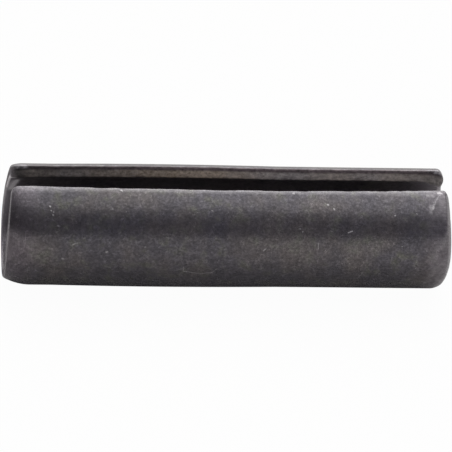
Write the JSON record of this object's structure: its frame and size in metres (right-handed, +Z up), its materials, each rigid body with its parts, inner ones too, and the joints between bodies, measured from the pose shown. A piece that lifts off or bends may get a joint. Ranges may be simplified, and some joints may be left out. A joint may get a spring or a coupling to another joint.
{
  "type": "slotted spring pin",
  "caption": "Spring roll pin: a round tube rolled from spring steel strip, with a straight slot along its whole length and both ends swaged in to lead it into a hole.",
  "frame": {"origin": "on the pin's axis, at the middle of its length", "axes": "+X along the axis towards the end with the short round taper, +Z up through the middle of the slot, and the end with the long gentle taper at -X"},
  "size_m": [0.02, 0.0054, 0.0053],
  "materials": {
    "spring_steel": "black phosphate over rolled spring steel, satin, rubbed brighter along the lips of the slot"
  },
  "bodies": {
    "root": {"slotted_spring_pin": "spring_steel"}
  },
  "joints": []
}
